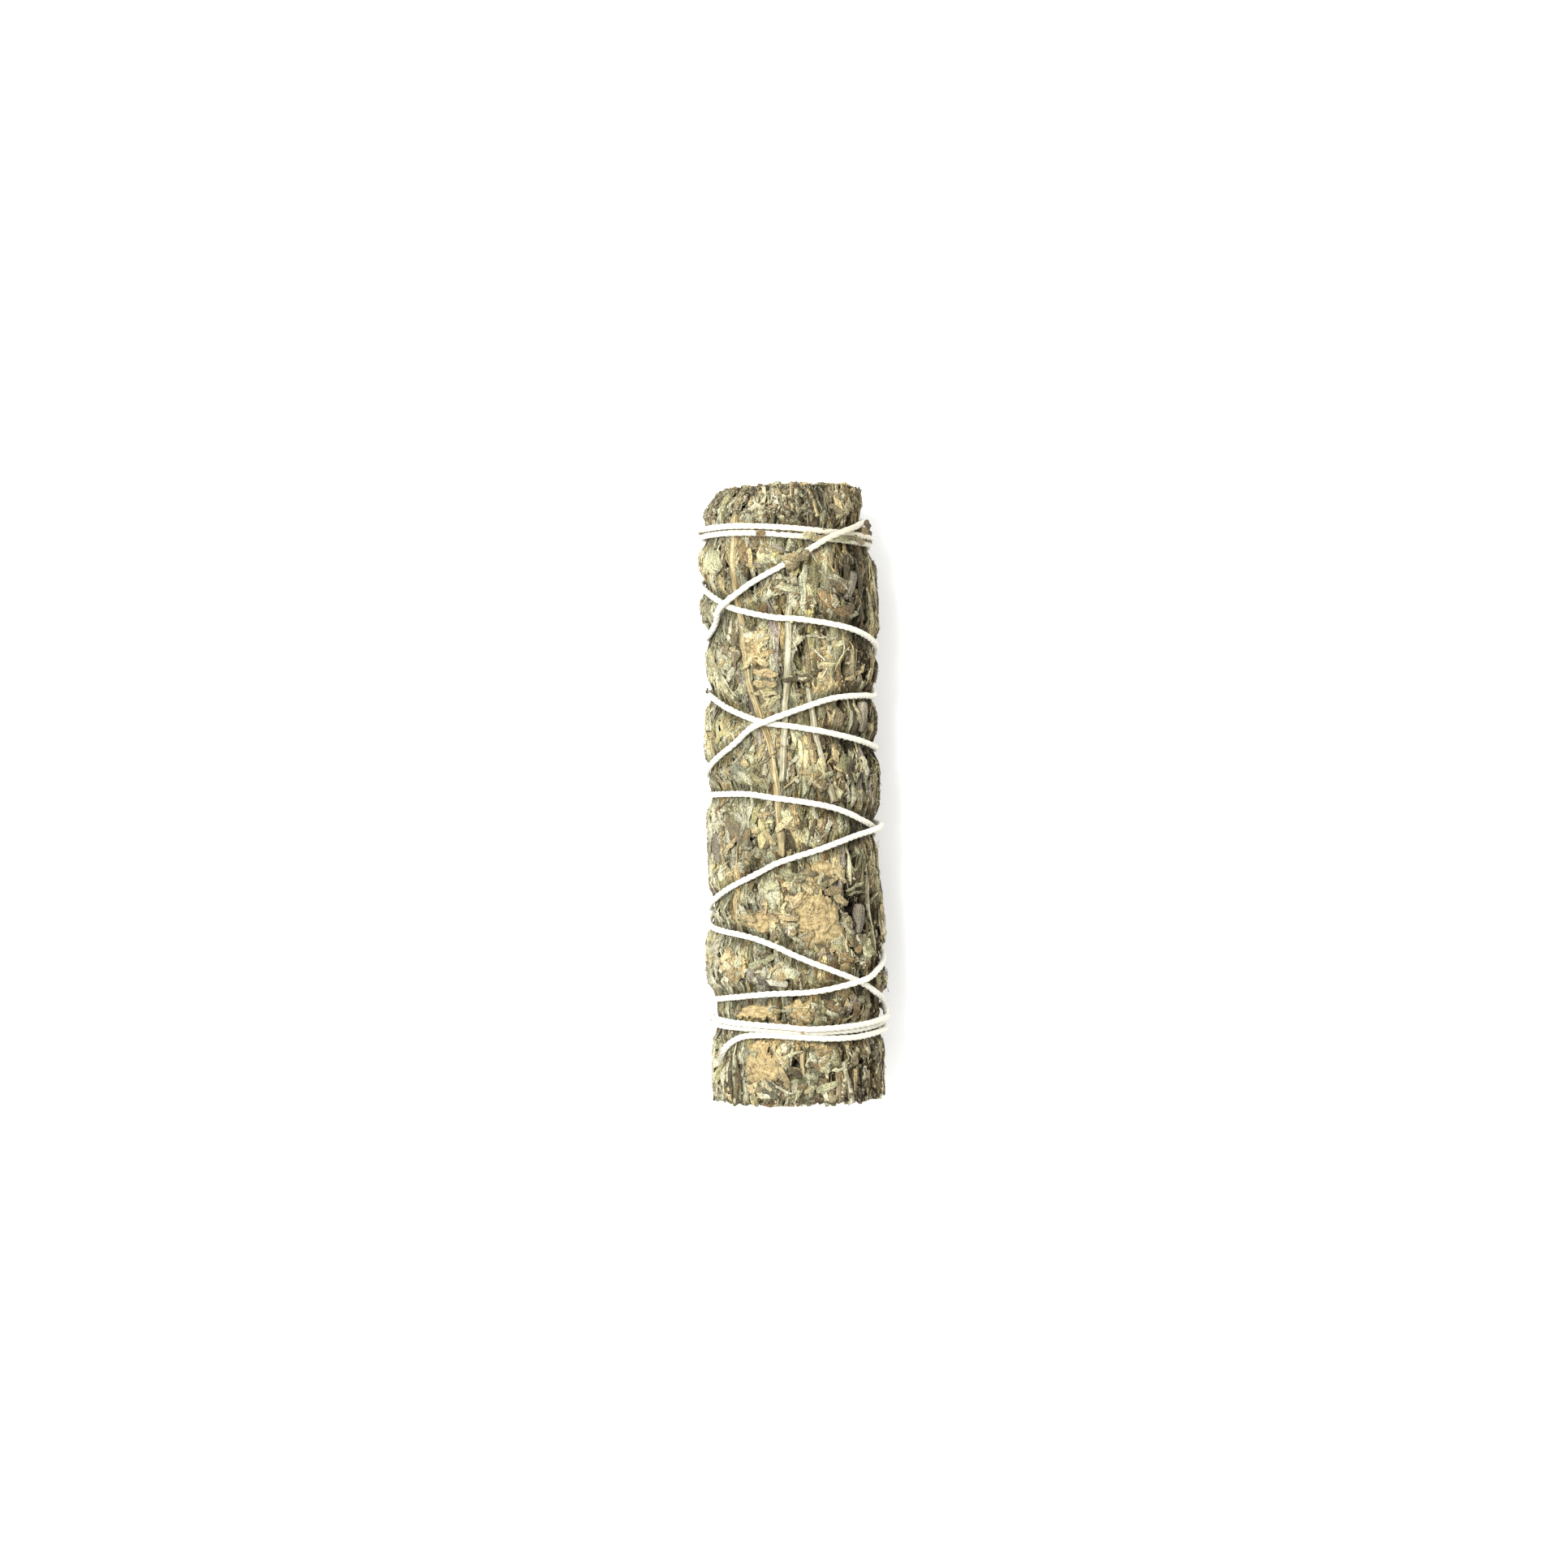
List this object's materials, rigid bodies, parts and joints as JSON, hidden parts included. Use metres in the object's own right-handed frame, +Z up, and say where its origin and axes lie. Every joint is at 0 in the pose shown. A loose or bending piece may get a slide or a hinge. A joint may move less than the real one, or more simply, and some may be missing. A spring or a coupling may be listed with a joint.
{
  "type": "bunch of lavender",
  "caption": "Short cylindrical bunch of dried lavender leaves, stems and papery bracts, bound along its length with crossing turns of cotton string.",
  "frame": {"origin": "centre of the bounding box on the plane that the bunch rests on", "axes": "+Y along the bunch, towards the end whose band of string has no loose end; +Z up, away from the plane it lies on"},
  "size_m": [0.0305, 0.1009, 0.0303],
  "materials": {
    "leaf": "dry felted leaf",
    "stem": "dry straw",
    "bract": "papery",
    "yellow_leaf": "dry leaf",
    "pale_leaf": "dry felted leaf",
    "calyx": "dry and ribbed",
    "string": "twisted cotton"
  },
  "bodies": {
    "root": {"leaf_mass": "leaf", "string": "string", "stem_long_straw": "stem", "stem_pale_centre": "stem", "stem_pale_right": "stem", "stem_top_right": "stem", "stem_top_edge": "stem", "stem_top_centre": "stem", "stem_foot_centre": "stem", "stem_foot_right": "stem", "stem_foot_left": "stem", "stem_right_low": "stem", "stem_back_left": "stem", "stem_back_right": "stem", "inner_stem_01": "stem", "inner_stem_02": "stem", "inner_stem_03": "stem", "inner_stem_04": "stem", "inner_stem_05": "stem", "inner_stem_06": "stem", "inner_stem_07": "stem", "inner_stem_08": "stem", "inner_stem_09": "stem", "inner_stem_10": "stem", "bract_large": "bract", "bract_side": "bract", "bract_upper": "bract", "bract_foot": "bract", "bract_band_left": "bract", "bract_band_right": "bract", "bract_low_left": "bract", "bract_tip": "bract", "bract_high": "bract", "bract_back_high": "bract", "leaf_yellow": "yellow_leaf", "leaf_pale_curled": "pale_leaf", "calyx_right_high": "calyx", "calyx_left": "calyx", "calyx_right": "calyx", "calyx_low": "calyx", "calyx_back": "calyx"}
  },
  "joints": []
}
